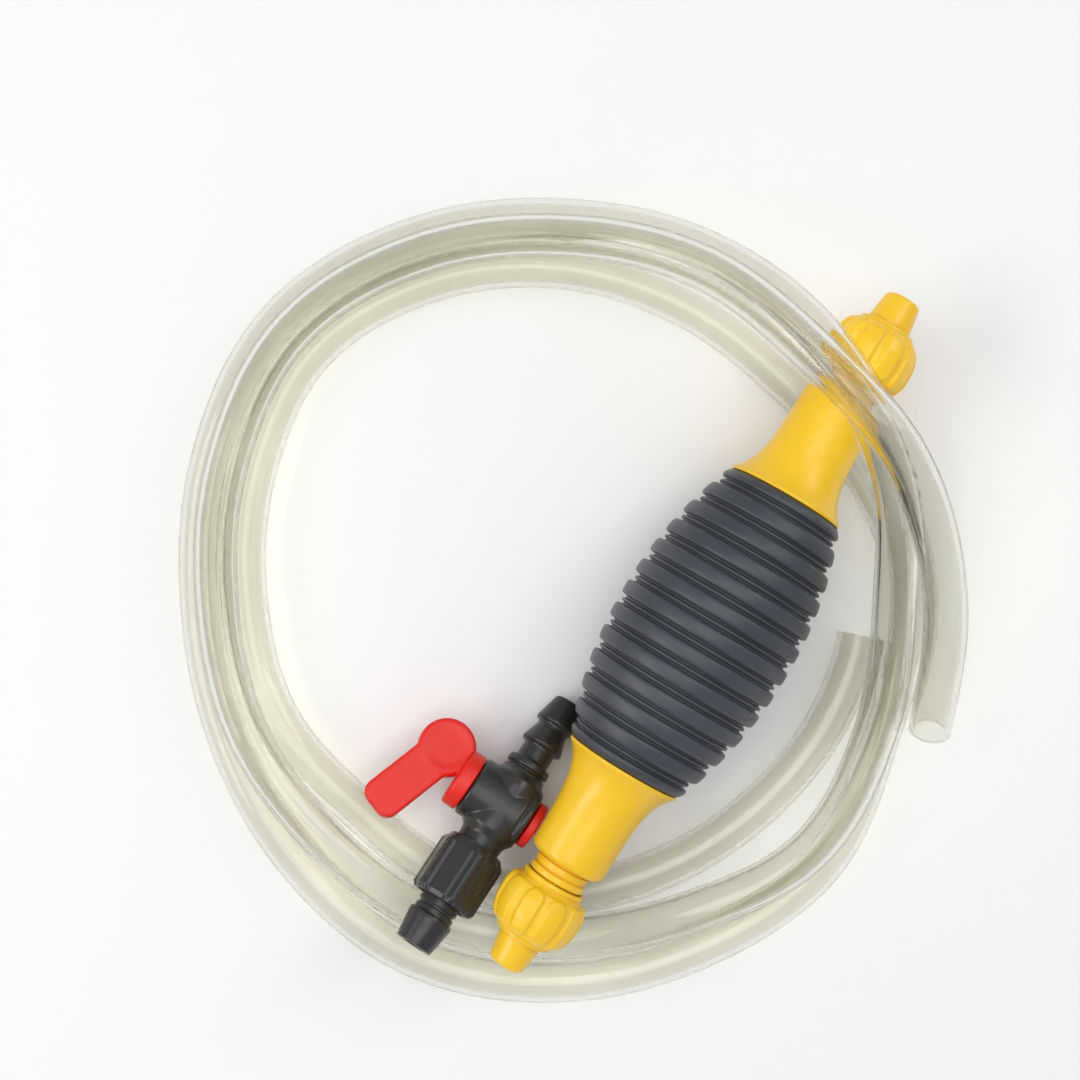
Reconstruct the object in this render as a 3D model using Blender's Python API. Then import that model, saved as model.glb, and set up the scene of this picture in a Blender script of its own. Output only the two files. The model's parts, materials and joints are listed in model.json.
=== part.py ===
"""Auto siphon kit: a squeeze-bulb hand pump, an in-line tap and a coil of clear hose.

The pump lies along X on its bulb, inlet end at +X.  The tap lies beside the outlet end,
with its tail up on the hose.  The hose is a loose coil that passes under the outlet end
and over the inlet end of the pump.
Lengths are in millimetres and angles in degrees; MM turns a length into metres.
"""
import math

import bmesh
import bpy
from mathutils import Matrix, Vector

MM = 0.001
GAP = 0.3                      # running gap between touching pieces

# Where the assemblies stand in the row frame
PUMP_X = 4.5
PUMP_Y = -16.2
TAP_FROM_PUMP = (-70.0, 22.0)  # tap centre, seen from the pump's centre
TAP_Z = 15.0
TAP_YAW = 177.0                # turns the tap's +X, its tail, towards the pump's outlet
TAP_PITCH = 16.2               # tail raised onto the hose
COIL_FROM_PUMP = (-13.0, 37.5)
COIL_YAW = -59.0

# Bulb
BULB_HALF = 42.0
BULB_END_R = 17.2
BULB_SWELL = 7.9
BULB_POWER = 2.1
BULB_WALL = 3.2
BULB_MOUTH_R = 13.3
BULB_MOUTH_DEPTH = 15.0
GROOVES = 12
GROOVE_PITCH = 6.9
GROOVE_DEPTH = 1.0
GROOVE_HALF = 1.5

# Pump end, measured outwards from the bulb's end face
HOUSING_R = 10.9
SHOULDER_X = 31.2
NECK_R = 7.5
NECK_END = 41.0
CHAMBER_R = 10.2
CHAMBER_DEPTH = 13.0
SPIGOT_R = 13.0
THROAT_R = 7.4
NECK_BORE_R = 4.6
NUT_START = 36.6
NUT_R = 12.2
NUT_END = 54.4
NUT_STOP = 44.9
TAIL_R = 6.1
TAIL_TIP_X = 63.3
TAIL_TIP_R = 4.5
TAIL_BORE_R = 3.3
FLUTES = 10
FLUTE_DEPTH = 0.035

# Valve cartridge, measured along the flow from the face that the disc shuts against
SEAT_THICK = 2.9
DISC_R = 7.6
DISC_THICK = 1.2
VALVE_LIFT = 2.2
VALVE_STEM_R = 1.1
VALVE_STEM_LENGTH = 5.0
HUB_R = 2.4
HUB_BORE_R = 1.4
SPOKES = 3
SPOKE_WIDTH = 1.6
SEAT_HOLE_R = 6.2
CARTRIDGE_MIDDLE = -4.85       # mid-plane of the cartridge, from the bulb's end face

# Tap, measured from the crossing of its flow axis (X) and its spindle axis (Y)
BARREL_R = 8.75
BARREL_OUT = 10.6              # towards the handle
BARREL_IN = 7.8                # towards the pump
SPINDLE_BORE_R = 6.5
SPINDLE_R = 6.1
TAP_BORE_R = 3.0
TAP_NECK_R = 6.35
TAP_NECK_END = 22.0
TAP_NUT_START = 13.4
TAP_NUT_STOP = 25.7
TAP_NUT_END = 31.2
TAP_NUT_R = 9.2
TAP_TAIL_NECK_R = 5.7
TAP_TAIL_END = 44.8
SEAL_AT = (-6.4, 6.0)
SEAL_GROOVE_R = 4.9
SEAL_R = 5.65
SEAL_SECTION_R = 0.45
HANDLE_HUB_R = 8.4
HANDLE_HUB_END = 15.4
BLADE_THICK = 6.0
LOBE_AT = (-4.6, -22.0)
LOBE_R = 8.1
LOBE_STEPS = 16
ARM_LENGTH = 26.0
ARM_WIDTH = 11.7
ARM_LEAN = 18.0
ARM_CORNER_R = 3.6
NUT_CORNER_AT = math.radians(20.0)
CAP_R = 6.75
CAP_THICK = 2.6
CAP_STUD_R = 2.0
CAP_STUD_DEPTH = 4.0

# Hose: radius of the outermost lane at sixteen stations, clockwise from the coil's right
HOSE_R = 6.0
STATIONS = 16
LANE_0 = (101.0, 97.5, 104.7, 105.6, 107.5, 108.5, 104.5, 101.4,
          101.4, 106.2, 111.8, 110.0, 106.5, 103.0, 97.5, 98.0)
FLOOR_Z = 6.1                  # height of the centreline where the hose lies flat
# Each turn: distance inside lane 0, then height, at the same stations
TURN_INSETS = (
    (15.6, 14.6, 24.0, 24.8, 24.8, 24.8, 22.4, 15.0,
     12.8, 12.8, 12.8, 12.8, 12.8, 12.8, 9.0, 5.0),
    (2.5, 0.0, 0.0, 0.0, 0.0, 0.0, 0.0, 0.0,
     0.0, 0.0, 0.0, 0.0, 0.0, 0.0, 0.0, 4.5),
    (11.0, 4.0, 7.8, 11.6, 12.4, 12.4, 11.0, 7.4,
     6.4, 6.4, 6.4, 6.4, 6.4, 6.4, 6.2, 2.2),
    (-1.5, -14.8, -29.0),
)
TURN_HEIGHTS = (
    (FLOOR_Z,) * STATIONS,
    (FLOOR_Z,) * 11 + (6.6, 10.5, 25.0, 42.2, 40.2),
    (28.0, 19.2, 18.2, 12.6, FLOOR_Z, FLOOR_Z, 13.0, 16.8,
     17.2, 17.2, 17.2, 18.0, 22.4, 37.8, 54.4, 53.4),
    (33.0, 2.9, -18.0),
)
HOSE_START = 0.3              # in stations
HOSE_END = 48.86
HOSE_POINTS = 80


def make_material(name, colour, roughness):
    made = bpy.data.materials.new(name)
    made.use_nodes = True
    shader = made.node_tree.nodes["Principled BSDF"]
    shader.inputs["Base Color"].default_value = (*colour, 1.0)
    shader.inputs["Roughness"].default_value = roughness
    shader.inputs["Metallic"].default_value = 0.0
    return made


def make_materials():
    return {
        "bulb_rubber": make_material("bulb_rubber", (0.055, 0.065, 0.085), 0.5),
        "yellow_plastic": make_material("yellow_plastic", (0.86, 0.52, 0.03), 0.35),
        "black_plastic": make_material("black_plastic", (0.03, 0.03, 0.028), 0.35),
        "red_plastic": make_material("red_plastic", (0.75, 0.045, 0.02), 0.35),
        "white_plastic": make_material("white_plastic", (0.8, 0.8, 0.76), 0.4),
        "seal_rubber": make_material("seal_rubber", (0.02, 0.02, 0.02), 0.6),
        "clear_hose": make_material("clear_hose", (0.6, 0.58, 0.42), 0.15),
    }


def make_frame(name, parent=None, at=(0.0, 0.0, 0.0), yaw=0.0, pitch=0.0):
    """An empty whose X axis is the axis of the pieces that it carries."""
    frame = bpy.data.objects.new(name, None)
    bpy.context.collection.objects.link(frame)
    frame.parent = parent
    frame.location = Vector(at) * MM
    frame.rotation_euler = (0.0, math.radians(-pitch), math.radians(yaw))
    return frame


def finish(bm, name, material, parent, sharp=35.0):
    """Turn a bmesh, drawn in millimetres, into a named object in metres."""
    bmesh.ops.scale(bm, vec=(MM, MM, MM), verts=bm.verts)
    bmesh.ops.recalc_face_normals(bm, faces=bm.faces)
    mesh = bpy.data.meshes.new(name)
    bm.to_mesh(mesh)
    bm.free()
    mesh.materials.append(material)
    mesh.shade_smooth()
    mesh.set_sharp_from_angle(angle=math.radians(sharp))
    made = bpy.data.objects.new(name, mesh)
    made.parent = parent
    bpy.context.collection.objects.link(made)
    return made


def spin_profile(profile, steps, closed=True):
    """A bmesh turned about X from (x, radius) points."""
    bm = bmesh.new()
    verts = [bm.verts.new((x, 0.0, r)) for x, r in profile]
    edges = [bm.edges.new(pair) for pair in zip(verts, verts[1:])]
    if closed:
        edges.append(bm.edges.new((verts[-1], verts[0])))
    bmesh.ops.spin(bm, geom=verts + edges, cent=(0, 0, 0), axis=(1, 0, 0),
                   angle=math.tau, steps=steps, use_merge=True)
    bmesh.ops.remove_doubles(bm, verts=bm.verts, dist=0.0005)
    return bm


def swell(bm, least_r, factor):
    """Scale the points beyond least_r away from the X axis by factor(angle)."""
    for vert in bm.verts:
        radius = math.hypot(vert.co.y, vert.co.z)
        if radius > least_r:
            scale = factor(math.atan2(vert.co.z, vert.co.y))
            vert.co.y *= scale
            vert.co.z *= scale


def turned(name, profile, material, parent, steps=24, closed=True, along_y=False):
    bm = spin_profile(profile, steps, closed)
    if along_y:
        quarter = Matrix.Rotation(math.radians(90.0), 3, "Z")
        bmesh.ops.rotate(bm, matrix=quarter, verts=bm.verts)
    return finish(bm, name, material, parent)


def rod(x_from, x_to, radius):
    """Profile of a plain solid rod."""
    return [(x_from, 0.0), (x_from, radius), (x_to, radius), (x_to, 0.0)]


def cut_or_join(target, tool, operation):
    """A live Boolean on target; the tool is only a guide."""
    tool.hide_render = True
    tool.display_type = "WIRE"
    step = target.modifiers.new(tool.name, "BOOLEAN")
    step.operation = operation
    step.solver = "EXACT"
    step.object = tool


def bulb_radius(x):
    """Outer envelope of the bulb, without its grooves."""
    return BULB_END_R + BULB_SWELL * (1.0 - (abs(x) / BULB_HALF) ** BULB_POWER)


def bulb_profile():
    outside = [(-BULB_HALF, BULB_END_R)]
    for index in range(GROOVES):
        middle = (index - (GROOVES - 1) / 2) * GROOVE_PITCH
        for offset, depth in ((-1.0, 0.0), (0.0, 1.0), (1.0, 0.0)):
            x = middle + offset * GROOVE_HALF
            outside.append((x, bulb_radius(x) - depth * GROOVE_DEPTH))
    outside.append((BULB_HALF, BULB_END_R))
    mouth = BULB_HALF - BULB_MOUTH_DEPTH
    inside = [(BULB_HALF, BULB_MOUTH_R), (mouth, BULB_MOUTH_R)]
    for part in (0.8, 0.4, 0.0, -0.4, -0.8):
        x = part * mouth
        inside.append((x, bulb_radius(x) - GROOVE_DEPTH - BULB_WALL))
    inside += [(-mouth, BULB_MOUTH_R), (-BULB_HALF, BULB_MOUTH_R)]
    return outside + inside


def build_housing(name, end, material):
    """Flared adaptor: spigot in the bulb, valve chamber, shoulder and threaded neck."""
    outside = [
        (-CHAMBER_DEPTH, SPIGOT_R - 0.8), (-CHAMBER_DEPTH + 1.5, SPIGOT_R),
        (GAP, SPIGOT_R), (GAP, 16.2), (GAP + 0.5, 16.5), (4.1, 14.1),
        (7.0, 12.6), (10.5, 11.5), (16.0, HOUSING_R), (SHOULDER_X - 1.6, HOUSING_R),
        (SHOULDER_X, 9.3), (SHOULDER_X, NECK_R - 0.5), (33.4, NECK_R - 0.5),
        (33.8, NECK_R + 0.6), (35.2, NECK_R + 0.6), (35.7, NECK_R - 0.4),
        (NECK_END, NECK_R - 0.6),
    ]
    inside = [
        (NECK_END, NECK_BORE_R), (28.0, NECK_BORE_R), (25.0, THROAT_R),
        (0.0, THROAT_R), (0.0, CHAMBER_R), (-CHAMBER_DEPTH, CHAMBER_R),
    ]
    turned(name, outside + inside, material, end)


def build_spider(name, parent, material, flip, face):
    """Ring with a hub on spokes.  Its working face is at x = face; flip = -1 turns it."""
    ring_r = CHAMBER_R - GAP
    far = face - flip * SEAT_THICK
    ring = turned(name, [(far, SEAT_HOLE_R), (far, ring_r), (face, ring_r),
                         (face, SEAT_HOLE_R)], material, parent)
    hub = turned(name + "_hub", [(far, HUB_BORE_R), (far, HUB_R), (face, HUB_R),
                                 (face, HUB_BORE_R)], material, parent, steps=12)
    cut_or_join(ring, hub, "UNION")
    reach = (SEAT_HOLE_R + HUB_R) / 2 + 0.1
    length = SEAT_HOLE_R - HUB_R + 1.0
    for index in range(SPOKES):
        bm = bmesh.new()
        bmesh.ops.create_cube(bm, size=1.0)
        bmesh.ops.scale(bm, vec=(SEAT_THICK * 0.8, SPOKE_WIDTH, length), verts=bm.verts)
        bmesh.ops.translate(bm, vec=((far + face) / 2, 0.0, reach), verts=bm.verts)
        turn = Matrix.Rotation(math.tau * index / SPOKES, 3, "X")
        bmesh.ops.rotate(bm, matrix=turn, verts=bm.verts)
        spoke = finish(bm, f"{name}_spoke_{index}", material, parent)
        cut_or_join(ring, spoke, "UNION")


def build_valve(prefix, end, inks, flow):
    """Check valve.  flow is +1 where the liquid leaves the pump and -1 where it enters."""
    seat_face = CARTRIDGE_MIDDLE - flow * 1.65
    stop_face = seat_face + flow * (2 * GAP + DISC_THICK + VALVE_LIFT)
    guard_far = stop_face + flow * SEAT_THICK * 0.8
    build_spider(prefix + "_valve_seat", end, inks["white_plastic"], flow, seat_face)
    ring_r = CHAMBER_R - GAP
    guard = turned(prefix + "_valve_guard", [
        (stop_face, 5.0), (stop_face, ring_r), (guard_far, ring_r), (guard_far, 5.0),
    ], inks["white_plastic"], end)
    bar_bm = bmesh.new()
    bmesh.ops.create_cube(bar_bm, size=1.0)
    bmesh.ops.scale(bar_bm, vec=(SEAT_THICK * 0.8, 2.0, 11.0), verts=bar_bm.verts)
    middle = (stop_face + guard_far) / 2
    bmesh.ops.translate(bar_bm, vec=(middle, 0.0, 0.0), verts=bar_bm.verts)
    bar = finish(bar_bm, prefix + "_guard_bar", inks["white_plastic"], end)
    cut_or_join(guard, bar, "UNION")
    near = seat_face + flow * GAP
    far = near + flow * DISC_THICK
    tip = near - flow * VALVE_STEM_LENGTH
    turned(prefix + "_valve_disc", [
        (far, 0.0), (far, DISC_R - 0.3), (near + flow * 0.3, DISC_R), (near, DISC_R - 0.2),
        (near, VALVE_STEM_R), (tip, VALVE_STEM_R), (tip, 0.0),
    ], inks["seal_rubber"], end, steps=16, closed=False)


def flute(angle):
    """Raised grip panels round a pump nut."""
    return 1.0 - FLUTE_DEPTH * (0.5 - 0.5 * math.cos(FLUTES * angle)) ** 2


def build_pump_union(prefix, end, inks):
    """Union nut, hose tail and washer that screw onto a housing's neck."""
    wall_x = NUT_STOP
    nut_bm = spin_profile([
        (NUT_START, 8.2), (NUT_START, 8.7), (37.8, 9.2), (39.8, 10.9), (42.0, NUT_R),
        (48.0, NUT_R), (50.6, 11.2), (53.0, 9.2), (NUT_END, 7.6), (NUT_END, 6.5),
        (wall_x, 6.5), (wall_x, 8.2),
    ], 3 * FLUTES)
    swell(nut_bm, 10.0, flute)
    finish(nut_bm, prefix + "_nut", inks["yellow_plastic"], end)
    flange = NECK_END + 1.3 + GAP
    turned(prefix + "_washer", [
        (NECK_END + GAP, TAIL_BORE_R + 0.4), (NECK_END + GAP, 7.0),
        (NECK_END + 1.3, 7.0), (NECK_END + 1.3, TAIL_BORE_R + 0.4),
    ], inks["seal_rubber"], end, steps=20)
    turned(prefix + "_hose_tail", [
        (flange, TAIL_BORE_R), (flange, 7.8), (wall_x - GAP, 7.8), (wall_x - GAP, TAIL_R),
        (55.2, TAIL_R), (59.5, 5.5), (62.0, 5.1), (TAIL_TIP_X - 0.4, TAIL_TIP_R + 0.2),
        (TAIL_TIP_X, TAIL_TIP_R), (TAIL_TIP_X, TAIL_BORE_R),
    ], inks["yellow_plastic"], end, steps=20)


def build_pump(inks):
    pump = make_frame("pump", at=(PUMP_X, PUMP_Y, BULB_END_R + BULB_SWELL))
    turned("bulb", bulb_profile(), inks["bulb_rubber"], pump)
    for prefix, yaw, flow in (("inlet", 0.0, -1), ("outlet", 180.0, 1)):
        reach = BULB_HALF if prefix == "inlet" else -BULB_HALF
        end = make_frame(prefix + "_end", pump, (reach, 0.0, 0.0), yaw)
        build_housing(prefix + "_housing", end, inks["yellow_plastic"])
        build_valve(prefix, end, inks, flow)
        build_pump_union(prefix, end, inks)


def hexagon(angle):
    """Six flats with rounded corners, as a share of the round blank's radius."""
    flat = math.pi / 3
    turn = (angle - NUT_CORNER_AT) % flat - flat / 2
    return min(1.04, 0.925 / math.cos(turn))


def build_tap_body(tap, material):
    body = turned("tap_body", [
        (-BARREL_OUT, 0.0), (-BARREL_OUT, 8.0), (-BARREL_OUT + 0.7, BARREL_R),
        (BARREL_IN - 0.5, BARREL_R), (BARREL_IN, 8.2), (BARREL_IN, 0.0),
    ], material, tap, closed=False, along_y=True)
    stem = turned("tap_stem", [
        (-34.6, 0.0), (-34.6, 3.9), (-33.9, 4.3), (-27.4, 5.7), (-26.6, 5.6),
        (-26.2, 4.6), (-24.8, 4.8), (-20.4, 6.1), (-19.4, 6.0), (-19.0, 4.7),
        (-14.0, 4.8), (-13.8, 5.8), (-13.3, 6.2), (-8.0, 6.2), (0.0, TAP_NECK_R),
        (TAP_NECK_END - 0.6, TAP_NECK_R), (TAP_NECK_END, TAP_NECK_R - 0.6),
        (TAP_NECK_END, 0.0),
    ], material, tap, closed=False)
    spindle_bore = turned("spindle_bore", rod(-20.0, 20.0, SPINDLE_BORE_R), material, tap,
                          closed=False, along_y=True)
    flow_bore = turned("flow_bore", rod(-40.0, 40.0, TAP_BORE_R), material, tap,
                       steps=16, closed=False)
    cut_or_join(body, stem, "UNION")
    cut_or_join(body, spindle_bore, "DIFFERENCE")
    cut_or_join(body, flow_bore, "DIFFERENCE")


def blade_outline():
    """Outline of the lever in the tap's XY plane: a round lobe and an arm."""
    lean = math.radians(ARM_LEAN)
    along = Vector((math.cos(lean), -math.sin(lean)))
    across = Vector((math.sin(lean), math.cos(lean)))
    lobe = Vector(LOBE_AT)
    half = ARM_WIDTH / 2
    meet = math.asin(half / LOBE_R)
    points = []
    for index in range(LOBE_STEPS + 1):
        angle = meet + (math.tau - 2 * meet) * index / LOBE_STEPS
        points.append(lobe + LOBE_R * (math.cos(angle) * along + math.sin(angle) * across))
    inner = half - ARM_CORNER_R
    for side in (-1, 1):
        centre = lobe + (ARM_LENGTH - ARM_CORNER_R) * along + side * inner * across
        for index in range(5):
            angle = math.radians(-90.0 + 90.0 * index / 4 if side < 0 else 90.0 * index / 4)
            round_off = math.cos(angle) * along + math.sin(angle) * across
            points.append(centre + ARM_CORNER_R * round_off)
    return points


def build_tap_handle(tap, inks):
    """Spindle, hub and lever in one piece, with the spindle's cap and seals."""
    red = inks["red_plastic"]
    groove = 0.8
    spindle_end = BARREL_IN + GAP
    hub_face = -BARREL_OUT - GAP
    profile = [(-HANDLE_HUB_END, 0.0), (-HANDLE_HUB_END, HANDLE_HUB_R - 1.2),
               (-HANDLE_HUB_END + 1.0, HANDLE_HUB_R), (hub_face, HANDLE_HUB_R),
               (hub_face, SPINDLE_R)]
    for middle in SEAL_AT:
        profile += [(middle - groove, SPINDLE_R), (middle - groove, SEAL_GROOVE_R),
                    (middle + groove, SEAL_GROOVE_R), (middle + groove, SPINDLE_R)]
    profile += [(spindle_end, SPINDLE_R), (spindle_end, CAP_STUD_R + GAP),
                (spindle_end - CAP_STUD_DEPTH - 2 * GAP, CAP_STUD_R + GAP),
                (spindle_end - CAP_STUD_DEPTH - 2 * GAP, 0.0)]
    handle = turned("tap_handle", profile, red, tap, closed=False, along_y=True)
    bm = bmesh.new()
    outline = [bm.verts.new((p.x, p.y, -BLADE_THICK / 2)) for p in blade_outline()]
    face = bm.faces.new(outline)
    raised = bmesh.ops.extrude_face_region(bm, geom=[face])
    lifted = [item for item in raised["geom"] if isinstance(item, bmesh.types.BMVert)]
    bmesh.ops.translate(bm, vec=(0.0, 0.0, BLADE_THICK), verts=lifted)
    blade = finish(bm, "tap_lever_blade", red, tap)
    flow_hole = turned("spindle_hole", rod(-9.0, 9.0, TAP_BORE_R), red, tap,
                       steps=16, closed=False)
    cut_or_join(handle, blade, "UNION")
    cut_or_join(handle, flow_hole, "DIFFERENCE")
    cap_face = spindle_end + GAP
    turned("tap_spindle_cap", [
        (cap_face - CAP_STUD_DEPTH, 0.0), (cap_face - CAP_STUD_DEPTH, CAP_STUD_R),
        (cap_face, CAP_STUD_R), (cap_face, CAP_R), (cap_face + CAP_THICK - 0.8, CAP_R),
        (cap_face + CAP_THICK, CAP_R - 0.8), (cap_face + CAP_THICK, 0.0),
    ], red, tap, closed=False, along_y=True)
    for name, middle in zip(("tap_outer_seal", "tap_inner_seal"), SEAL_AT):
        ring = [(middle + SEAL_SECTION_R * math.cos(math.tau * k / 6),
                 SEAL_R + SEAL_SECTION_R * math.sin(math.tau * k / 6)) for k in range(6)]
        turned(name, ring, inks["seal_rubber"], tap, steps=20, along_y=True)


def build_tap_union(tap, inks):
    """Hexagonal union nut, conical tail and washer on the tap's threaded neck."""
    black = inks["black_plastic"]
    bore = 7.7
    nut_bm = spin_profile([
        (TAP_NUT_START, bore), (TAP_NUT_START, 8.2), (TAP_NUT_START + 2.4, TAP_NUT_R),
        (TAP_NUT_END - 1.0, TAP_NUT_R + 0.35), (TAP_NUT_END, TAP_NUT_R - 0.2),
        (TAP_NUT_END, 6.4), (TAP_NUT_END - 1.2, 6.0), (TAP_NUT_STOP, 6.0),
        (TAP_NUT_STOP, bore),
    ], 36)
    swell(nut_bm, bore + 0.2, hexagon)
    finish(nut_bm, "tap_nut", black, tap, sharp=25.0)
    turned("tap_washer", [
        (TAP_NECK_END + GAP, 3.5), (TAP_NECK_END + GAP, 6.9),
        (TAP_NECK_END + 1.3, 6.9), (TAP_NECK_END + 1.3, 3.5),
    ], inks["seal_rubber"], tap, steps=20)
    flange = TAP_NECK_END + 1.3 + GAP
    turned("tap_hose_tail", [
        (flange, TAP_BORE_R), (flange, 7.3), (TAP_NUT_STOP - GAP, 7.3),
        (TAP_NUT_STOP - GAP, TAP_TAIL_NECK_R), (35.4, TAP_TAIL_NECK_R), (36.1, 6.6),
        (36.9, 6.6), (TAP_TAIL_END - 0.6, 5.6), (TAP_TAIL_END, 5.0),
        (TAP_TAIL_END, TAP_BORE_R),
    ], black, tap, steps=20)


def build_tap(inks):
    at = (PUMP_X + TAP_FROM_PUMP[0], PUMP_Y + TAP_FROM_PUMP[1], TAP_Z)
    tap = make_frame("tap", at=at, yaw=TAP_YAW, pitch=TAP_PITCH)
    build_tap_body(tap, inks["black_plastic"])
    build_tap_handle(tap, inks)
    build_tap_union(tap, inks)


def smooth_between(values, at, floor=None):
    """Value at a place between the stations of a list, on a curve level at the floor."""
    first = min(max(int(at), 0), len(values) - 2)
    part = at - first
    before = values[max(first - 1, 0)]
    here = values[first]
    there = values[first + 1]
    after = values[min(first + 2, len(values) - 1)]
    rise = 0.0 if here == floor else (there - before) / 2
    fall = 0.0 if there == floor else (after - here) / 2
    return (here + part * rise
            + part ** 2 * (3 * (there - here) - 2 * rise - fall)
            + part ** 3 * (2 * (here - there) + rise + fall))


def hose_route(count):
    """Points along the hose's centreline, in millimetres, in the row frame."""
    insets = [value for turn in TURN_INSETS for value in turn]
    heights = [value for turn in TURN_HEIGHTS for value in turn]
    radii = [LANE_0[index % STATIONS] - inset for index, inset in enumerate(insets)]
    centre = Vector((PUMP_X + COIL_FROM_PUMP[0], PUMP_Y + COIL_FROM_PUMP[1], 0.0))
    points = []
    for index in range(count):
        at = HOSE_START + (HOSE_END - HOSE_START) * index / (count - 1)
        angle = math.radians(COIL_YAW) - math.tau * at / STATIONS
        radius = smooth_between(radii, at)
        height = smooth_between(heights, at, FLOOR_Z)
        points.append(centre + Vector((radius * math.cos(angle),
                                       radius * math.sin(angle), height)))
    return points


def build_hose(material):
    path = bpy.data.curves.new("hose", "CURVE")
    path.dimensions = "3D"
    path.bevel_depth = HOSE_R * MM
    path.bevel_resolution = 2
    path.use_fill_caps = True
    line = path.splines.new("POLY")
    route = hose_route(HOSE_POINTS)
    line.points.add(len(route) - 1)
    for point, place in zip(line.points, route):
        point.co = (*(place * MM), 1.0)
    path.materials.append(material)
    hose = bpy.data.objects.new("hose", path)
    bpy.context.collection.objects.link(hose)


def main():
    for old in list(bpy.data.objects):
        bpy.data.objects.remove(old)
    inks = make_materials()
    build_pump(inks)
    build_tap(inks)
    build_hose(inks["clear_hose"])


main()
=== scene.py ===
"""Looks of a hand siphon kit: ribbed squeeze bulb, yellow end fittings, in-line tap and clear hose.

Lengths are in millimetres until a piece is placed; MM turns them into metres.
"""
import json
import math

import bmesh
import bpy
from mathutils import Matrix, Vector


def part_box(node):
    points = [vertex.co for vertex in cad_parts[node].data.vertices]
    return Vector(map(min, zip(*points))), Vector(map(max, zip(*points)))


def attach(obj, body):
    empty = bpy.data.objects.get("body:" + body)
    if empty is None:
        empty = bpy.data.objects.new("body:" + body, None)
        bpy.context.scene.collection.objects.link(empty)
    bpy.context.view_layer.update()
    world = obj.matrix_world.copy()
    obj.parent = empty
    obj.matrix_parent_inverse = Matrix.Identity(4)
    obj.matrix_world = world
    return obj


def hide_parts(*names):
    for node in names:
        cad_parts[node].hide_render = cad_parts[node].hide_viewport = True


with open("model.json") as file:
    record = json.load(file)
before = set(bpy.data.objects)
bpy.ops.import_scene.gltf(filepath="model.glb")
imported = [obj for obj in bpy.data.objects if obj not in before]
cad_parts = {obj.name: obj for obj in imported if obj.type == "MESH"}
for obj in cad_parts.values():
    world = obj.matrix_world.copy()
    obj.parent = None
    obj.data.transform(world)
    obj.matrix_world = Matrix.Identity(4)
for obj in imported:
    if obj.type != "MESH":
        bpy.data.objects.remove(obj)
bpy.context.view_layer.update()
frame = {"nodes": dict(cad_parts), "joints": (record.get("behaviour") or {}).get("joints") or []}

MM = 0.001

# ---------------------------------------------------------------- places, read from the frame
BULB_LOW, BULB_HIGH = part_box("bulb")
PUMP_CENTRE = (BULB_LOW + BULB_HIGH) / 2
BULB_HALF = (BULB_HIGH.x - BULB_LOW.x) / 2 / MM
BULB_R = (BULB_HIGH.z - BULB_LOW.z) / 2 / MM
JOINTS = {joint["name"]: joint for joint in frame["joints"]}


def end_place(side):
    """X runs outwards from the bulb's end face; side is +1 at the inlet and -1 at the outlet."""
    place = Matrix.Translation(PUMP_CENTRE + Vector((side * BULB_HALF * MM, 0.0, 0.0)))
    return place if side > 0 else place @ Matrix.Rotation(math.pi, 4, "Z")


def tap_place():
    """X runs along the tap to its tail, Y along the spindle to its cap."""
    along = Vector(JOINTS["tap_nut_turn"]["axis"]).normalized()
    across = -Vector(JOINTS["tap_handle_turn"]["axis"]).normalized()
    turn = Matrix((along, across, along.cross(across))).transposed().to_4x4()
    return Matrix.Translation(Vector(JOINTS["tap_handle_turn"]["pos_m"])) @ turn


# ---------------------------------------------------------------- camera, light and floor
def make_camera():
    """Straight overhead, turned so that the pump's inlet end is up and to the right."""
    data = bpy.data.cameras.new("overhead_camera")
    data.sensor_width = 36.0
    data.lens = 59.5
    camera = bpy.data.objects.new("overhead_camera", data)
    camera.location = (0.003, 0.035, 0.51)
    camera.rotation_euler = (0.0, 0.0, math.radians(-59.0))
    bpy.context.scene.collection.objects.link(camera)
    bpy.context.scene.camera = camera


def make_softbox(name, at, size, watts, colour):
    data = bpy.data.lights.new(name, "AREA")
    data.shape = "RECTANGLE"
    data.size, data.size_y = size
    data.energy = watts
    data.color = colour
    light = bpy.data.objects.new(name, data)
    light.location = at
    aim = Vector((0.0, 0.02, 0.0)) - Vector(at)
    light.rotation_euler = aim.to_track_quat("-Z", "Y").to_euler()
    bpy.context.scene.collection.objects.link(light)


def make_studio():
    """Soft light from above and two sides, with plain colours kept as they are."""
    bpy.context.scene.view_settings.view_transform = "Standard"
    make_softbox("window_side", (-0.55, 0.75, 0.75), (0.9, 0.35), 4.9, (1.0, 0.99, 0.97))
    make_softbox("pump_side", (0.75, -0.45, 0.8), (0.35, 0.9), 2.8, (0.97, 0.98, 1.0))
    make_softbox("overhead", (0.05, 0.1, 1.2), (0.9, 0.9), 4.9, (1.0, 1.0, 1.0))
    world = bpy.data.worlds.new("pale_room")
    world.use_nodes = True
    world.node_tree.nodes["Background"].inputs["Color"].default_value = (0.95, 0.96, 1.0, 1.0)
    world.node_tree.nodes["Background"].inputs["Strength"].default_value = 0.51
    bpy.context.scene.world = world


def make_floor():
    bm = bmesh.new()
    bmesh.ops.create_grid(bm, x_segments=1, y_segments=1, size=3.0)
    mesh = bpy.data.meshes.new("floor")
    bm.to_mesh(mesh)
    bm.free()
    floor = bpy.data.objects.new("floor", mesh)
    bpy.context.scene.collection.objects.link(floor)
    paper = bpy.data.materials.new("pale_paper")
    paper.use_nodes = True
    shader = paper.node_tree.nodes["Principled BSDF"]
    shader.inputs["Base Color"].default_value = (0.86, 0.86, 0.85, 1.0)
    shader.inputs["Roughness"].default_value = 0.85
    mesh.materials.append(paper)


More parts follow.
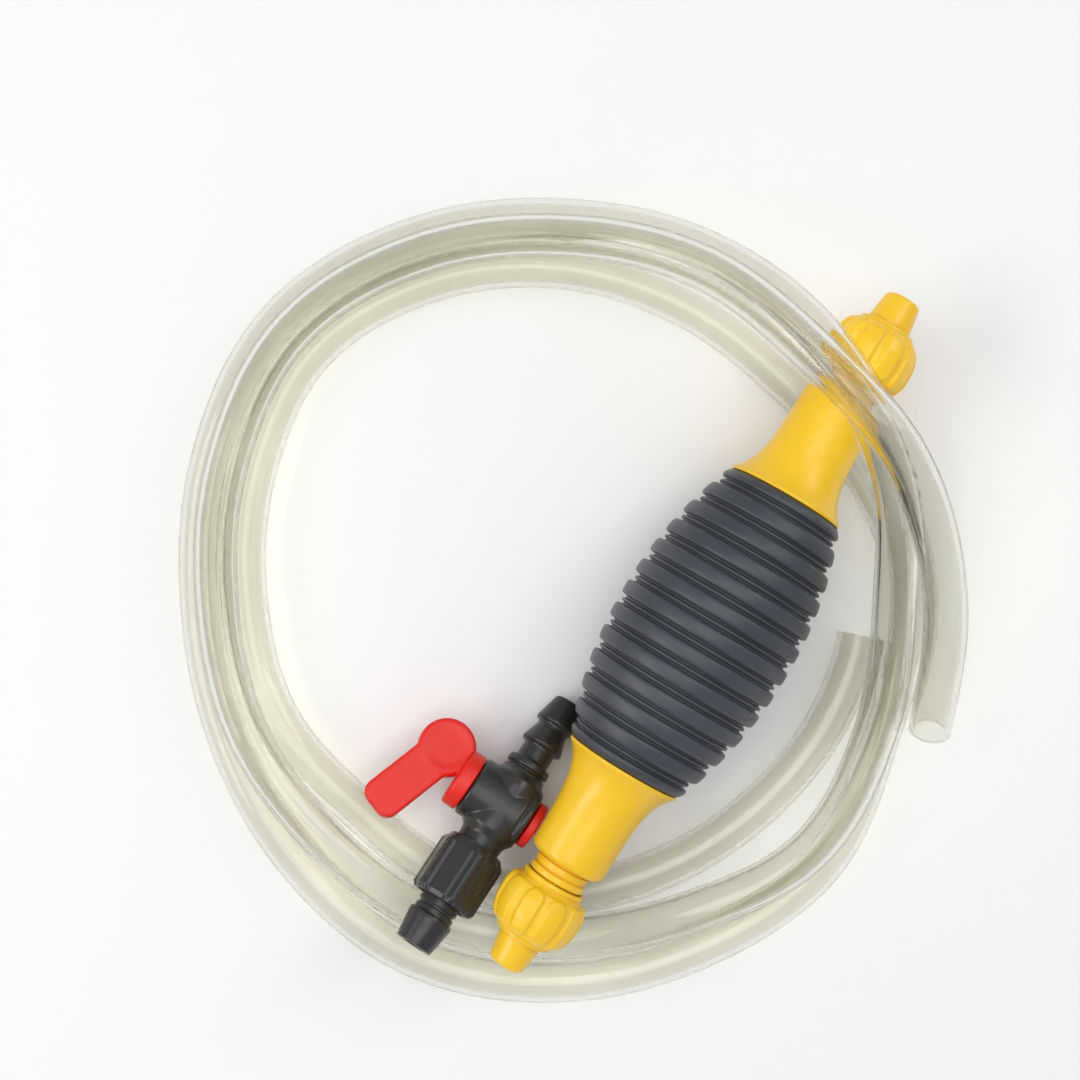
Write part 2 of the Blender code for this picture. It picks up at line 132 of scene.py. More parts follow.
# ---------------------------------------------------------------- shared surface effects
def new_group(name, inputs, outputs):
    """An empty shader group with its sockets, and its input and output nodes."""
    group = bpy.data.node_groups.new(name, "ShaderNodeTree")
    for label, kind, value in inputs:
        socket = group.interface.new_socket(name=label, in_out="INPUT", socket_type=kind)
        if value is not None:
            socket.default_value = value
    for label, kind in outputs:
        group.interface.new_socket(name=label, in_out="OUTPUT", socket_type=kind)
    entry = group.nodes.new("NodeGroupInput")
    result = group.nodes.new("NodeGroupOutput")
    return group, entry, result


def add_noise(tree, vector, scale, detail=3.0, roughness=0.55):
    """A noise texture; scale is a number or a socket."""
    noise = tree.nodes.new("ShaderNodeTexNoise")
    noise.inputs["Detail"].default_value = detail
    noise.inputs["Roughness"].default_value = roughness
    tree.links.new(vector, noise.inputs["Vector"])
    put(tree, scale, noise.inputs["Scale"])
    return noise.outputs["Fac"]


def put(tree, value, socket):
    """Set a socket to a number or a colour, or link another socket to it."""
    if isinstance(value, bpy.types.NodeSocket):
        tree.links.new(value, socket)
    else:
        socket.default_value = value


def add_math(tree, operation, first, second=0.0, third=None):
    node = tree.nodes.new("ShaderNodeMath")
    node.operation = operation
    put(tree, first, node.inputs[0])
    put(tree, second, node.inputs[1])
    if third is not None:
        put(tree, third, node.inputs[2])
    return node.outputs[0]


def add_range(tree, value, low, high, to_low=0.0, to_high=1.0):
    node = tree.nodes.new("ShaderNodeMapRange")
    for label, given in (("Value", value), ("From Min", low), ("From Max", high),
                         ("To Min", to_low), ("To Max", to_high)):
        put(tree, given, node.inputs[label])
    return node.outputs["Result"]


def add_mix(tree, factor, first, second):
    node = tree.nodes.new("ShaderNodeMix")
    node.data_type = "RGBA"
    put(tree, factor, node.inputs[0])
    put(tree, first, node.inputs[6])
    put(tree, second, node.inputs[7])
    return node.outputs[2]


COLOUR_IN = ("Colour", "NodeSocketColor", (0.5, 0.5, 0.5, 1.0))
VECTOR_IN = ("Place", "NodeSocketVector", None)


def build_uneven_tone():
    """Slow changes of tone, as pigment and light handling leave on mouldings."""
    group, entry, result = new_group(
        "uneven_tone",
        [VECTOR_IN, COLOUR_IN, ("Shade", "NodeSocketColor", (0.3, 0.3, 0.3, 1.0)),
         ("Amount", "NodeSocketFloat", 0.3), ("Scale", "NodeSocketFloat", 60.0)],
        [("Colour", "NodeSocketColor")])
    broad = add_noise(group, entry.outputs["Place"], entry.outputs["Scale"], 4.0, 0.6)
    mask = add_range(group, broad, 0.38, 0.66)
    strength = add_math(group, "MULTIPLY", mask, entry.outputs["Amount"])
    colour = add_mix(group, strength, entry.outputs["Colour"], entry.outputs["Shade"])
    group.links.new(colour, result.inputs["Colour"])
    return group


def build_moulded_skin():
    """Fine skin of a moulding: height of a soft orange peel with tiny pores."""
    group, entry, result = new_group(
        "moulded_skin",
        [VECTOR_IN, ("Peel Scale", "NodeSocketFloat", 900.0),
         ("Pore Scale", "NodeSocketFloat", 2600.0), ("Pores", "NodeSocketFloat", 0.3)],
        [("Height", "NodeSocketFloat")])
    peel = add_noise(group, entry.outputs["Place"], entry.outputs["Peel Scale"], 2.0)
    pores = add_noise(group, entry.outputs["Place"], entry.outputs["Pore Scale"], 1.0)
    deep = add_math(group, "MULTIPLY", pores, entry.outputs["Pores"])
    height = add_math(group, "ADD", peel, deep)
    group.links.new(height, result.inputs["Height"])
    return group


def build_handling_marks():
    """Short fine scuffs that change the gloss a little."""
    group, entry, result = new_group(
        "handling_marks",
        [VECTOR_IN, ("Gloss", "NodeSocketFloat", 0.3), ("Amount", "NodeSocketFloat", 0.15)],
        [("Roughness", "NodeSocketFloat")])
    stretch = group.nodes.new("ShaderNodeMapping")
    stretch.inputs["Rotation"].default_value = (0.3, 0.5, 0.8)
    stretch.inputs["Scale"].default_value = (1.0, 9.0, 5.0)
    group.links.new(entry.outputs["Place"], stretch.inputs["Vector"])
    streaks = add_noise(group, stretch.outputs["Vector"], 190.0, 4.0, 0.7)
    patches = add_noise(group, entry.outputs["Place"], 75.0, 3.0)
    lines = add_range(group, streaks, 0.6, 0.74)
    area = add_range(group, patches, 0.45, 0.65)
    mask = add_math(group, "MULTIPLY", lines, area)
    slow = add_range(group, patches, 0.3, 0.7, -0.3, 0.3)
    change = add_math(group, "ADD", mask, slow)
    rough = add_math(group, "MULTIPLY_ADD", change, entry.outputs["Amount"],
                     entry.outputs["Gloss"])
    group.links.new(rough, result.inputs["Roughness"])
    return group


def build_worn_edges():
    """Paler colour where a convex edge has been rubbed."""
    group, entry, result = new_group(
        "worn_edges",
        [VECTOR_IN, COLOUR_IN, ("Rubbed", "NodeSocketColor", (0.8, 0.8, 0.8, 1.0)),
         ("Amount", "NodeSocketFloat", 0.3)],
        [("Colour", "NodeSocketColor")])
    shape = group.nodes.new("ShaderNodeNewGeometry")
    edge = add_range(group, shape.outputs["Pointiness"], 0.53, 0.62)
    broken = add_range(group, add_noise(group, entry.outputs["Place"], 420.0, 4.0), 0.35, 0.6)
    mask = add_math(group, "MULTIPLY", edge, broken)
    strength = add_math(group, "MULTIPLY", mask, entry.outputs["Amount"])
    colour = add_mix(group, strength, entry.outputs["Colour"], entry.outputs["Rubbed"])
    group.links.new(colour, result.inputs["Colour"])
    return group


def build_fine_dust():
    """Sparse pale specks that settle on surfaces facing up."""
    group, entry, result = new_group(
        "fine_dust",
        [VECTOR_IN, COLOUR_IN, ("Dust", "NodeSocketColor", (0.7, 0.68, 0.64, 1.0)),
         ("Amount", "NodeSocketFloat", 0.2), ("Scale", "NodeSocketFloat", 1500.0)],
        [("Colour", "NodeSocketColor")])
    specks = add_noise(group, entry.outputs["Place"], entry.outputs["Scale"], 2.0, 0.6)
    dots = add_range(group, specks, 0.66, 0.72)
    shape = group.nodes.new("ShaderNodeNewGeometry")
    split = group.nodes.new("ShaderNodeSeparateXYZ")
    group.links.new(shape.outputs["Normal"], split.inputs[0])
    upward = add_range(group, split.outputs["Z"], 0.0, 0.9)
    mask = add_math(group, "MULTIPLY", dots, upward)
    strength = add_math(group, "MULTIPLY", mask, entry.outputs["Amount"])
    colour = add_mix(group, strength, entry.outputs["Colour"], entry.outputs["Dust"])
    group.links.new(colour, result.inputs["Colour"])
    return group


def build_drawn_lines():
    """Height of faint lines along a hose; Place is its UV map, along and then around."""
    group, entry, result = new_group(
        "drawn_lines",
        [VECTOR_IN, ("Fineness", "NodeSocketFloat", 9.0), ("Length", "NodeSocketFloat", 5.0)],
        [("Height", "NodeSocketFloat")])
    split = group.nodes.new("ShaderNodeSeparateXYZ")
    group.links.new(entry.outputs["Place"], split.inputs[0])
    angle = add_math(group, "MULTIPLY", split.outputs["Y"], math.tau)
    wrapped = group.nodes.new("ShaderNodeCombineXYZ")
    group.links.new(add_math(group, "COSINE", angle), wrapped.inputs["X"])
    group.links.new(add_math(group, "SINE", angle), wrapped.inputs["Y"])
    along = add_math(group, "MULTIPLY", split.outputs["X"], entry.outputs["Length"])
    group.links.new(along, wrapped.inputs["Z"])
    lines = add_noise(group, wrapped.outputs[0], entry.outputs["Fineness"], 2.0, 0.5)
    group.links.new(lines, result.inputs["Height"])
    return group


EFFECTS = {
    "tone": build_uneven_tone(),
    "skin": build_moulded_skin(),
    "marks": build_handling_marks(),
    "edges": build_worn_edges(),
    "dust": build_fine_dust(),
    "lines": build_drawn_lines(),
}


# ---------------------------------------------------------------- finishes
def new_material(name):
    """A material with its node tree, its shader and its Object coordinates."""
    made = bpy.data.materials.new(name)
    made.use_nodes = True
    tree = made.node_tree
    shader = tree.nodes["Principled BSDF"]
    place = tree.nodes.new("ShaderNodeTexCoord").outputs["Object"]
    return made, tree, shader, place


def add_effect(tree, effect, place, **values):
    """Place a shared effect; a value's key is the input's name with _ for a space."""
    node = tree.nodes.new("ShaderNodeGroup")
    node.node_tree = EFFECTS[effect]
    tree.links.new(place, node.inputs["Place"])
    for label, value in values.items():
        put(tree, value, node.inputs[label.replace("_", " ")])
    return node


def add_bump(tree, shader, height, strength, distance):
    bump = tree.nodes.new("ShaderNodeBump")
    bump.inputs["Strength"].default_value = strength
    bump.inputs["Distance"].default_value = distance
    tree.links.new(height, bump.inputs["Height"])
    tree.links.new(bump.outputs["Normal"], shader.inputs["Normal"])


def make_gloss_plastic(name, colour, shade, rubbed, gloss, depth=0.0):
    """Injection-moulded plastic with slight tone changes, scuffs, rubbed edges and dust.

    Depth is how much light goes a little way into it.
    """
    made, tree, shader, place = new_material(name)
    tone = add_effect(tree, "tone", place, Colour=colour, Shade=shade, Amount=0.45, Scale=45.0)
    worn = add_effect(tree, "edges", place, Colour=tone.outputs["Colour"], Rubbed=rubbed,
                      Amount=0.4)
    dusty = add_effect(tree, "dust", place, Colour=worn.outputs["Colour"], Amount=0.1,
                       Scale=2600.0)
    tree.links.new(dusty.outputs["Colour"], shader.inputs["Base Color"])
    marks = add_effect(tree, "marks", place, Gloss=gloss, Amount=0.16)
    tree.links.new(marks.outputs["Roughness"], shader.inputs["Roughness"])
    skin = add_effect(tree, "skin", place)
    add_bump(tree, shader, skin.outputs["Height"], 0.12, 0.0002)
    shader.inputs["IOR"].default_value = 1.5
    shader.inputs["Subsurface Weight"].default_value = depth
    shader.inputs["Subsurface Radius"].default_value = (1.0, 0.6, 0.2)
    shader.inputs["Subsurface Scale"].default_value = 0.0015
    return made


def make_bulb_rubber():
    """Satin slate rubber with a faint bloom, fine pores and a little dust."""
    made, tree, shader, place = new_material("slate_rubber")
    tone = add_effect(tree, "tone", place, Colour=(0.036, 0.041, 0.050, 1.0),
                      Shade=(0.056, 0.062, 0.073, 1.0), Amount=0.7, Scale=38.0)
    worn = add_effect(tree, "edges", place, Colour=tone.outputs["Colour"],
                      Rubbed=(0.085, 0.092, 0.105, 1.0), Amount=0.5)
    dusty = add_effect(tree, "dust", place, Colour=worn.outputs["Colour"], Amount=0.1,
                       Scale=2600.0)
    tree.links.new(dusty.outputs["Colour"], shader.inputs["Base Color"])
    marks = add_effect(tree, "marks", place, Gloss=0.42, Amount=0.12)
    tree.links.new(marks.outputs["Roughness"], shader.inputs["Roughness"])
    skin = add_effect(tree, "skin", place, Peel_Scale=1400.0, Pore_Scale=3600.0, Pores=0.6)
    add_bump(tree, shader, skin.outputs["Height"], 0.2, 0.0001)
    shader.inputs["IOR"].default_value = 1.5
    shader.inputs["Sheen Weight"].default_value = 0.05
    return made


def make_seal_rubber():
    """Matt black rubber of the washers, rings and valve discs."""
    made, tree, shader, place = new_material("black_seal_rubber")
    tone = add_effect(tree, "tone", place, Colour=(0.016, 0.016, 0.017, 1.0),
                      Shade=(0.04, 0.04, 0.042, 1.0), Amount=0.6, Scale=90.0)
    tree.links.new(tone.outputs["Colour"], shader.inputs["Base Color"])
    marks = add_effect(tree, "marks", place, Gloss=0.55, Amount=0.12)
    tree.links.new(marks.outputs["Roughness"], shader.inputs["Roughness"])
    skin = add_effect(tree, "skin", place, Peel_Scale=1800.0, Pores=0.5)
    add_bump(tree, shader, skin.outputs["Height"], 0.2, 0.0001)
    return made


def make_valve_plastic():
    """Unpigmented plastic of the valve seats and guards."""
    return make_gloss_plastic("natural_white_plastic", (0.78, 0.78, 0.73, 1.0),
                              (0.66, 0.66, 0.6, 1.0), (0.9, 0.9, 0.87, 1.0), 0.38, 0.1)


def make_clear_hose(name, haze, gloss):
    """Clear flexible hose with a faint olive tint and fine lines from its die.

    A haze of 0 is clear and 1 is milky. Light from the lamps passes straight through, so the
    shadow stays pale.
    """
    made, tree, shader, place = new_material(name)
    tone = add_effect(tree, "tone", place, Colour=(0.89, 0.885, 0.845, 1.0),
                      Shade=(0.85, 0.845, 0.80, 1.0), Amount=0.7, Scale=26.0)
    tree.links.new(tone.outputs["Colour"], shader.inputs["Base Color"])
    marks = add_effect(tree, "marks", place, Gloss=gloss, Amount=0.03)
    tree.links.new(marks.outputs["Roughness"], shader.inputs["Roughness"])
    along = tree.nodes.new("ShaderNodeTexCoord").outputs["UV"]
    lines = add_effect(tree, "lines", along)
    add_bump(tree, shader, lines.outputs["Height"], 0.12, 0.0003)
    shader.inputs["Transmission Weight"].default_value = 1.0 - haze
    shader.inputs["Metallic"].default_value = 0.0
    shader.inputs["IOR"].default_value = 1.36
    ray = tree.nodes.new("ShaderNodeLightPath")
    open_way = tree.nodes.new("ShaderNodeBsdfTransparent")
    open_way.inputs["Color"].default_value = (0.93, 0.93, 0.905, 1.0)
    either = tree.nodes.new("ShaderNodeMixShader")
    tree.links.new(ray.outputs["Is Shadow Ray"], either.inputs["Fac"])
    tree.links.new(shader.outputs[0], either.inputs[1])
    tree.links.new(open_way.outputs[0], either.inputs[2])
    tree.links.new(either.outputs[0], tree.nodes["Material Output"].inputs["Surface"])
    return made


YELLOW = make_gloss_plastic("yellow_plastic", (0.90, 0.555, 0.016, 1.0),
                            (0.83, 0.475, 0.010, 1.0), (1.0, 0.70, 0.11, 1.0), 0.3, 0.06)
BLACK = make_gloss_plastic("black_plastic", (0.020, 0.020, 0.019, 1.0),
                           (0.034, 0.033, 0.030, 1.0), (0.08, 0.08, 0.075, 1.0), 0.27)
RED = make_gloss_plastic("red_plastic", (0.77, 0.013, 0.003, 1.0),
                         (0.68, 0.008, 0.002, 1.0), (0.86, 0.08, 0.04, 1.0), 0.42, 0.04)
SLATE = make_bulb_rubber()
SEAL = make_seal_rubber()
NATURAL = make_valve_plastic()
CLEAR = make_clear_hose("clear_hose_plastic", haze=0.0, gloss=0.03)
CUT_END = make_clear_hose("cut_hose_end", haze=0.9, gloss=0.5)


# ---------------------------------------------------------------- modelling helpers
def rounded(corners, steps=4, closed=True):
    """Profile points from (x, radius, fillet) corners; a fillet above 0 becomes an arc."""
    points = []
    count = len(corners)
    for index, (x, r, fillet) in enumerate(corners):
        here = Vector((x, r, 0.0))
        if fillet == 0.0 or not closed and index in (0, count - 1):
            points.append(here)
            continue
        before = Vector((*corners[index - 1][:2], 0.0)) - here
        after = Vector((*corners[(index + 1) % count][:2], 0.0)) - here
        half = before.angle(after) / 2
        reach = fillet / math.tan(half)
        middle = (before.normalized() + after.normalized()).normalized()
        centre = here + middle * fillet / math.sin(half)
        start = here + before.normalized() * reach - centre
        stop = here + after.normalized() * reach - centre
        points += [centre + start.slerp(stop, step / steps) * fillet
                   for step in range(steps + 1)]
    return [(point.x, point.y) for point in points]


def spaced(profile, step):
    """The same outline with points no further apart than a step."""
    points = []
    for (x, r), (next_x, next_r) in zip(profile, profile[1:]):
        parts = math.ceil(math.hypot(next_x - x, next_r - r) / step)
        points += [(x + (next_x - x) * part / parts, r + (next_r - r) * part / parts)
                   for part in range(parts)]
    return points + [profile[-1]]


def turn(profile, steps=96, closed=True, along_y=False):
    """A bmesh turned about X, or about Y, from (x, radius) points."""
    bm = bmesh.new()
    verts = [bm.verts.new((x, 0.0, r)) for x, r in profile]
    edges = [bm.edges.new(pair) for pair in zip(verts, verts[1:])]
    if closed:
        edges.append(bm.edges.new((verts[-1], verts[0])))
    bmesh.ops.spin(bm, geom=verts + edges, cent=(0, 0, 0), axis=(1, 0, 0),
                   angle=math.tau, steps=steps, use_merge=True)
    bmesh.ops.remove_doubles(bm, verts=bm.verts, dist=0.0005)
    if along_y:
        quarter = Matrix.Rotation(math.radians(90.0), 3, "Z")
        bmesh.ops.rotate(bm, matrix=quarter, verts=bm.verts)
    bmesh.ops.recalc_face_normals(bm, faces=bm.faces)
    return bm


def as_object(bm, name):
    """A bmesh drawn in millimetres as an object in metres, before it is placed."""
    bmesh.ops.scale(bm, vec=(MM, MM, MM), verts=bm.verts)
    mesh = bpy.data.meshes.new(name)
    bm.to_mesh(mesh)
    bm.free()
    made = bpy.data.objects.new(name, mesh)
    bpy.context.scene.collection.objects.link(made)
    return made


def settle(target):
    """Make the modifiers real."""
    bpy.context.view_layer.update()
    evaluated = target.evaluated_get(bpy.context.evaluated_depsgraph_get())
    mesh = bpy.data.meshes.new_from_object(evaluated)
    target.modifiers.clear()
    target.data = mesh


def combine(target, *tools):
    """Join closed shapes to the target or cut them from it: tools are (object, operation)."""
    for tool, operation in tools:
        step = target.modifiers.new(tool.name, "BOOLEAN")
        step.operation = operation
        step.solver = "MANIFOLD"
        step.object = tool
    settle(target)
    for tool, _ in tools:
        bpy.data.objects.remove(tool)


def melt(target, voxel, passes):
    """Fuse joined shapes into one skin with soft moulded fillets."""
    fused = target.modifiers.new("fused", "REMESH")
    fused.mode = "VOXEL"
    fused.voxel_size = voxel * MM
    soft = target.modifiers.new("soft", "SMOOTH")
    soft.factor = 0.5
    soft.iterations = passes
    settle(target)


def dress(piece, place, material, body, slot, *nodes):
    """Place a finished piece, give it its finish, hang it on its body and hide the frame's nodes
    that it replaces.
    """
    piece.data.transform(place)
    piece.data.materials.clear()
    piece.data.materials.append(material)
    piece.data.shade_smooth()
    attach(piece, body)
    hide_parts(*nodes)
    return piece


def keep_faces_flat(piece):
    """Shade broad faces flat, so that only the small ones between them look round."""
    weighted = piece.modifiers.new("flat_faces", "WEIGHTED_NORMAL")
    weighted.keep_sharp = True


def turned_piece(name, profile, place, material, body, slot, node, steps=96, closed=True,
                 along_y=False):
    piece = as_object(turn(profile, steps, closed, along_y), name)
    keep_faces_flat(piece)
    return dress(piece, place, material, body, slot, node)


# ---------------------------------------------------------------- hose
# Radius of the outermost lane at sixteen stations, clockwise from the coil's right; then for
# each turn the distance inside that lane and the height of the centreline.
HOSE_R = 6.0
HOSE_WALL = 1.5
STATIONS = 16
COIL_CENTRE = PUMP_CENTRE / MM + Vector((-13.0, 37.5, 0.0))
COIL_YAW = -59.0
LANE_0 = (101.0, 97.5, 104.7, 105.6, 107.5, 108.5, 104.5, 101.4,
          101.4, 106.2, 111.8, 110.0, 106.5, 103.0, 97.5, 98.0)
FLOOR_Z = 6.1
TURN_INSETS = (
    (15.6, 14.6, 24.0, 24.8, 24.8, 24.8, 22.4, 15.0,
     12.8, 12.8, 12.8, 12.8, 12.8, 12.8, 9.0, 5.0),
    (2.5, 0.0, 0.0, 0.0, 0.0, 0.0, 0.0, 0.0,
     0.0, 0.0, 0.0, 0.0, 0.0, 0.0, 0.0, 4.5),
    (11.0, 4.0, 7.8, 11.6, 12.4, 12.4, 11.0, 7.4,
     6.4, 6.4, 6.4, 6.4, 6.4, 6.4, 6.2, 2.2),
    (-1.5, -14.8, -29.0),
)
TURN_HEIGHTS = (
    (FLOOR_Z,) * STATIONS,
    (FLOOR_Z,) * 11 + (6.6, 10.5, 25.0, 42.2, 40.2),
    (28.0, 19.2, 18.2, 12.6, FLOOR_Z, FLOOR_Z, 13.0, 16.8,
     17.2, 17.2, 17.2, 18.0, 22.4, 37.8, 54.4, 53.4),
    (33.0, 2.9, -18.0),
)
HOSE_START = 0.3
HOSE_END = 48.86
HOSE_POINTS = 420
HOSE_SIDES = 32


def smooth_between(values, at, floor=None):
    """Value at a place between the stations of a list, on a curve level at the floor."""
    first = min(max(int(at), 0), len(values) - 2)
    part = at - first
    before = values[max(first - 1, 0)]
    here = values[first]
    there = values[first + 1]
    after = values[min(first + 2, len(values) - 1)]
    rise = 0.0 if here == floor else (there - before) / 2
    fall = 0.0 if there == floor else (after - here) / 2
    return (here + part * rise
            + part ** 2 * (3 * (there - here) - 2 * rise - fall)
            + part ** 3 * (2 * (here - there) + rise + fall))


def hose_route(count):
    """Points along the hose's centreline, in metres."""
    insets = [value for turn_ in TURN_INSETS for value in turn_]
    heights = [value for turn_ in TURN_HEIGHTS for value in turn_]
    radii = [LANE_0[index % STATIONS] - inset for index, inset in enumerate(insets)]
    points = []
    for index in range(count):
        at = HOSE_START + (HOSE_END - HOSE_START) * index / (count - 1)
        angle = math.radians(COIL_YAW) - math.tau * at / STATIONS
        radius = smooth_between(radii, at)
        points.append(Vector((COIL_CENTRE.x + radius * math.cos(angle),
                              COIL_CENTRE.y + radius * math.sin(angle),
                              smooth_between(heights, at, FLOOR_Z))) * MM)
    return points


def keep_ends_sharp(mesh):
    """Mark the open ends of a tube as sharp, so that a cut end stays crisp."""
    bm = bmesh.new()
    bm.from_mesh(mesh)
    for edge in bm.edges:
        edge.smooth = not edge.is_boundary
    bm.to_mesh(mesh)
    bm.free()


def make_hose():
    """The coil: a tube round the route, its wall thickened inwards, with bare cut ends."""
    route = hose_route(HOSE_POINTS)
    path = bpy.data.curves.new("hose_path", "CURVE")
    path.dimensions = "3D"
    path.bevel_depth = HOSE_R * MM
    path.bevel_resolution = HOSE_SIDES // 2 - 2
    line = path.splines.new("POLY")
    line.points.add(len(route) - 1)
    for point, spot in zip(line.points, route):
        point.co = (*spot, 1.0)
    guide = bpy.data.objects.new("hose_path", path)
    bpy.context.scene.collection.objects.link(guide)
    bpy.context.view_layer.update()
    evaluated = guide.evaluated_get(bpy.context.evaluated_depsgraph_get())
    mesh = bpy.data.meshes.new_from_object(evaluated)
    bpy.data.objects.remove(guide)
    keep_ends_sharp(mesh)
    hose = bpy.data.objects.new("coiled_hose", mesh)
    bpy.context.scene.collection.objects.link(hose)
    wall = hose.modifiers.new("wall", "SOLIDIFY")
    wall.thickness = HOSE_WALL * MM
    wall.offset = -1.0
    wall.material_offset_rim = 1
    dress(hose, Matrix.Identity(4), CLEAR, "pump", "clear_hose", "hose")
    hose.data.materials.append(CUT_END)


# ---------------------------------------------------------------- bulb
BULB_END_R = 17.2
BULB_POWER = 2.1
BULB_MOUTH_R = 13.3
BULB_MOUTH_DEPTH = 15.0
BULB_SKIN = 4.2                # wall with the ribs
BULB_SIDES = 144
CHAMBER_STEPS = 8
END_BAND = 1.3                 # smooth band beside each end face
GROOVES = 12
GROOVE_PITCH = 6.9
# Half of one double groove: (distance from its middle, depth); a low bead lies between
GROOVE_SHAPE = ((0.0, 1.12), (0.26, 1.15), (0.4, 1.32), (0.5, 1.75), (0.68, 1.98), (0.95, 1.98),
                (1.16, 1.8), (1.27, 1.2), (1.37, 0.72), (1.52, 0.4), (1.78, 0.18), (2.15, 0.06),
                (2.6, 0.01))


def bulb_radius(x):
    """Radius of the bulb over its ribs, at a distance along it from its middle."""
    swell = BULB_R - BULB_END_R
    return BULB_END_R + swell * (1.0 - (abs(x) / BULB_HALF) ** BULB_POWER)


def make_bulb():
    """Ribbed outside, two mouths and the chamber between them, turned from one outline."""
    half_groove = [(-distance, depth) for distance, depth in reversed(GROOVE_SHAPE[1:])]
    outside = [(-BULB_HALF, BULB_END_R - 0.9), (-BULB_HALF + 0.3, BULB_END_R - 0.3),
               (-BULB_HALF + 0.9, BULB_END_R + 0.15)]
    for index in range(GROOVES):
        middle = (index - (GROOVES - 1) / 2) * GROOVE_PITCH
        for distance, depth in half_groove + list(GROOVE_SHAPE):
            x = middle + distance
            if abs(x) < BULB_HALF - END_BAND:
                outside.append((x, bulb_radius(x) - depth))
        crown = middle + GROOVE_PITCH / 2
        if crown < BULB_HALF - END_BAND:
            outside.append((crown, bulb_radius(crown)))
    outside += [(-x, r) for x, r in reversed(outside[:3])]
    mouth = BULB_HALF - BULB_MOUTH_DEPTH
    inside = [(BULB_HALF, BULB_MOUTH_R + 0.5), (BULB_HALF - 0.5, BULB_MOUTH_R),
              (mouth, BULB_MOUTH_R)]
    for step in range(CHAMBER_STEPS + 1):
        x = mouth * (0.9 - 1.8 * step / CHAMBER_STEPS)
        inside.append((x, bulb_radius(x) - BULB_SKIN))
    inside += [(-mouth, BULB_MOUTH_R), (-BULB_HALF + 0.5, BULB_MOUTH_R),
               (-BULB_HALF, BULB_MOUTH_R + 0.5)]
    bulb = as_object(turn(outside + inside, BULB_SIDES), "ribbed_bulb")
    dress(bulb, Matrix.Translation(PUMP_CENTRE), SLATE, "pump", "bulb_rubber", "bulb")


# ---------------------------------------------------------------- pump ends
HOUSING_R = 10.9
FLARE_R = 16.6
FLARE_LENGTH = 5.2
SHOULDER_X = 31.2
NECK_R = 7.0
NECK_END = 41.0
THREAD_PITCH = 1.8
THREAD_TURNS = 2.4
THREAD_SIDES = 60
NECK_THREAD_AT = 36.9
NUT_SIDES = 240
NUT_R = 12.0
NUT_LIP_R = 9.0
TONGUES = 10
TONGUE_RISE = 0.8
TONGUE_HALF = 2.7
TONGUE_EDGE = 1.0
TONGUE_FROM = 39.0
TONGUE_TO = 53.4
TAIL_BORE_R = 3.3


def thread_ridge(name, start, root, crest):
    """A blunt screw thread swept round X; start is where its first turn begins."""
    half = THREAD_PITCH * 0.36
    bm = bmesh.new()
    tooth = [(start - half, root), (start - half * 0.4, crest),
             (start + half * 0.4, crest), (start + half, root)]
    face = bm.faces.new([bm.verts.new((x, 0.0, r)) for x, r in tooth])
    steps = round(THREAD_SIDES * THREAD_TURNS)
    bmesh.ops.spin(bm, geom=[face, *face.edges, *face.verts], cent=(0, 0, 0), axis=(1, 0, 0),
                   dvec=(THREAD_PITCH * THREAD_TURNS / steps, 0, 0),
                   angle=math.tau * THREAD_TURNS, steps=steps, use_duplicate=False)
    bmesh.ops.holes_fill(bm, edges=[edge for edge in bm.edges if edge.is_boundary])
    bmesh.ops.recalc_face_normals(bm, faces=bm.faces)
    return as_object(bm, name)


def make_housing(prefix, side):
    """Spigot in the bulb's mouth, flare, shoulder and threaded neck, bored right through."""
    flare = [(x, HOUSING_R + (FLARE_R - HOUSING_R) * math.exp((1.0 - x) / FLARE_LENGTH), 0.0)
             for x in (1.0, 1.7, 2.6, 3.8, 5.4, 7.4, 9.8, 13.0, 17.0, 22.0)]
    corners = [
        (-13.0, 12.2, 0.3), (-11.5, 13.0, 0.6), (0.3, 13.0, 0.0), (0.3, 16.45, 0.25),
        *flare,
        (SHOULDER_X, HOUSING_R, 2.1), (SHOULDER_X, 7.1, 0.2), (31.8, 7.1, 0.2),
        (31.9, 7.8, 0.35), (33.8, 7.8, 0.35), (33.9, 7.2, 0.2), (34.3, 7.2, 0.15),
        (34.4, 8.1, 0.4), (36.3, 8.1, 0.4), (36.35, NECK_R, 0.2),
        (NECK_END, NECK_R - 0.1, 0.4), (NECK_END, 4.6, 0.3),
        (28.0, 4.6, 0.5), (25.0, 7.4, 0.5), (0.0, 7.4, 0.0), (0.0, 10.2, 0.0),
        (-13.0, 10.2, 0.3),
    ]
    housing = as_object(turn(rounded(corners)), prefix + "_adaptor")
    thread = thread_ridge("neck_thread", NECK_THREAD_AT, NECK_R - 0.4, NECK_R + 0.75)
    combine(housing, (thread, "UNION"))
    keep_faces_flat(housing)
    dress(housing, end_place(side), YELLOW, "pump", "yellow_plastic", prefix + "_housing")


def tongue_rise(x, angle):
    """Height share of the raised grip tongues round a nut: 1 on a tongue, 0 beside it."""
    share = math.tau / TONGUES
    away = abs((angle + share / 2) % share - share / 2) * NUT_R
    past = max(TONGUE_FROM + TONGUE_HALF - x, x - TONGUE_TO + TONGUE_HALF, 0.0)
    edge = (TONGUE_HALF - math.hypot(away, past)) / TONGUE_EDGE + 0.5
    edge = min(max(edge, 0.0), 1.0)
    return edge * edge * (3.0 - 2.0 * edge)


